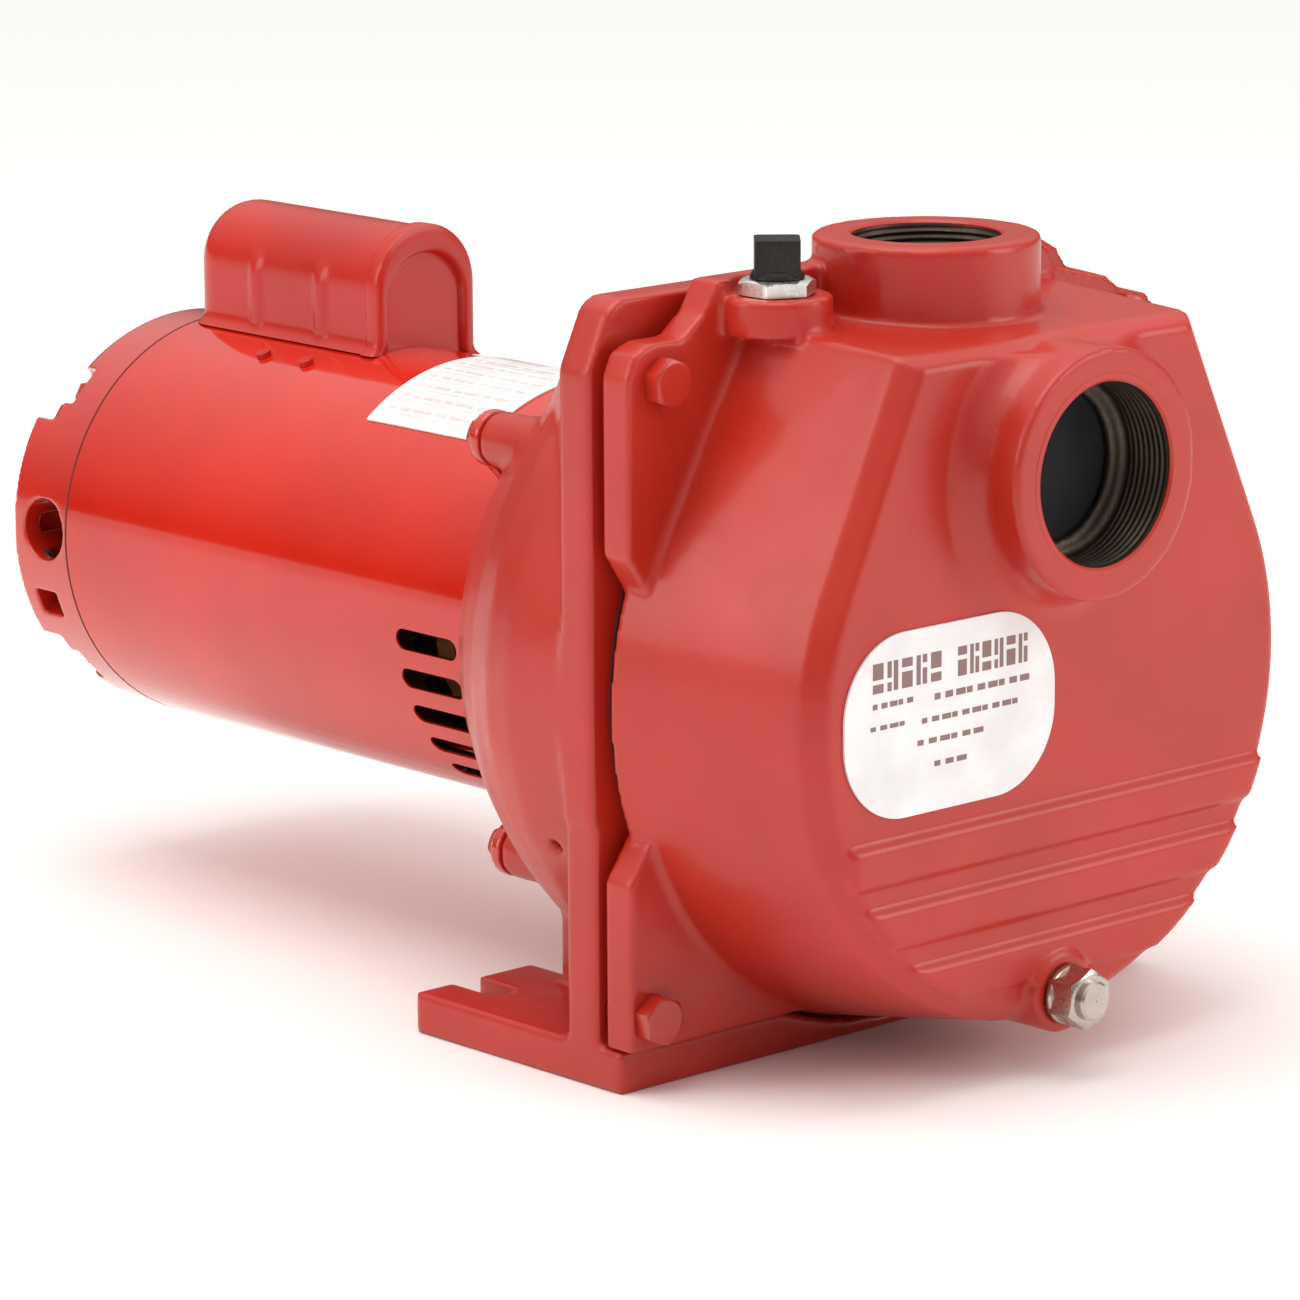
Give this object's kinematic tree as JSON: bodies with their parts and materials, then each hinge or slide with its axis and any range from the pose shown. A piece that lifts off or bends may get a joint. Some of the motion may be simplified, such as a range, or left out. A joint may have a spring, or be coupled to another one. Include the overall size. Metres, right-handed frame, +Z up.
{
  "type": "self-priming centrifugal pump",
  "caption": "Close-coupled self-priming centrifugal water pump: round cast casing with front suction and top discharge ports, bolted to a footed adapter and a horizontal electric motor.",
  "frame": {"origin": "on the foot's underside, in the middle plane, in line with the joint between pump casing and motor adapter", "axes": "+Y along the shaft from pump to motor, +Z up out of the discharge port, -Y out of the suction port"},
  "size_m": [0.239, 0.4707, 0.268],
  "materials": {
    "casting_paint": "semi-gloss red enamel over cast iron",
    "motor_paint": "gloss orange-red enamel over steel sheet",
    "bolt_paint": "red paint over steel hex fasteners",
    "motor_alloy": "red enamel over die-cast aluminium",
    "zinc": "bright zinc plate",
    "black_iron": "dark oxide",
    "steel": "ground steel",
    "laminations": "stacked electrical steel",
    "rotor_alloy": "die-cast aluminium",
    "copper": "varnished copper wire",
    "plastic_black": "glass-filled thermoplastic",
    "plastic_wet": "moulded thermoplastic",
    "rubber": "nitrile rubber",
    "gasket_fibre": "compressed fibre sheet",
    "ceramic": "ground ceramic",
    "capacitor_case": "phenolic case",
    "label": null
  },
  "bodies": {
    "pump": {"pump_casing": "casting_paint", "casing_gasket": "gasket_fibre", "motor_adapter": "casting_paint", "casing_bolts": "bolt_paint", "diffuser": "plastic_wet", "diffuser_screws": "steel", "diffuser_o_ring": "rubber", "seal_seat": "ceramic", "flapper_pin": "steel", "priming_bushing": "zinc", "front_end_bell": "motor_alloy", "motor_shell": "motor_paint", "stator_core": "laminations", "stator_windings": "copper", "front_bearing_outer_race": "steel", "rear_bearing_outer_race": "steel", "wave_washer": "steel", "rear_end_bell": "motor_alloy", "rear_cover": "motor_paint", "rear_cover_screws": "zinc", "thru_bolts": "bolt_paint", "motor_mount_bolts": "bolt_paint", "centrifugal_switch": "plastic_black", "terminal_board": "plastic_black", "capacitor": "capacitor_case", "capacitor_cover": "motor_paint", "capacitor_cover_screws": "zinc", "pump_label_plate": "label", "motor_nameplate": "label", "ground_screw": "zinc"},
    "rotor": {"shaft": "steel", "impeller": "plastic_wet", "impeller_nut": "copper", "seal_head": "plastic_black", "seal_spring": "steel", "slinger": "rubber", "front_bearing_inner_race": "steel", "front_bearing_balls": "steel", "rear_bearing_inner_race": "steel", "rear_bearing_balls": "steel", "rotor_core": "laminations", "rotor_end_rings": "rotor_alloy", "governor": "steel"},
    "governor_sleeve": {"governor_collar": "plastic_black"},
    "flapper": {"suction_flapper": "rubber", "flapper_weight": "black_iron"},
    "priming_plug": {"priming_plug": "black_iron"},
    "drain_plug": {"drain_plug": "zinc"}
  },
  "joints": [
    {"name": "shaft_spin", "type": "hinge", "parent": "pump", "child": "rotor", "pos_m": [0, 0, 0.1219], "axis": [0, 1, 0], "continuous": true},
    {"name": "governor_slide", "type": "slide", "parent": "rotor", "child": "governor_sleeve", "axis": [0, -1, 0], "range_m": [0, 0.0025], "stiffness_N_per_m": 400},
    {"name": "flapper_swing", "type": "hinge", "parent": "pump", "child": "flapper", "pos_m": [0, -0.0796, 0.2234], "axis": [1, 0, 0], "range_deg": [0, 20]},
    {"name": "priming_plug_lift", "type": "slide", "parent": "pump", "child": "priming_plug", "axis": [0, 0, 1], "range_m": [0, 0.03]},
    {"name": "drain_plug_pull", "type": "slide", "parent": "pump", "child": "drain_plug", "axis": [0, -1, 0], "range_m": [0, 0.03]}
  ]
}
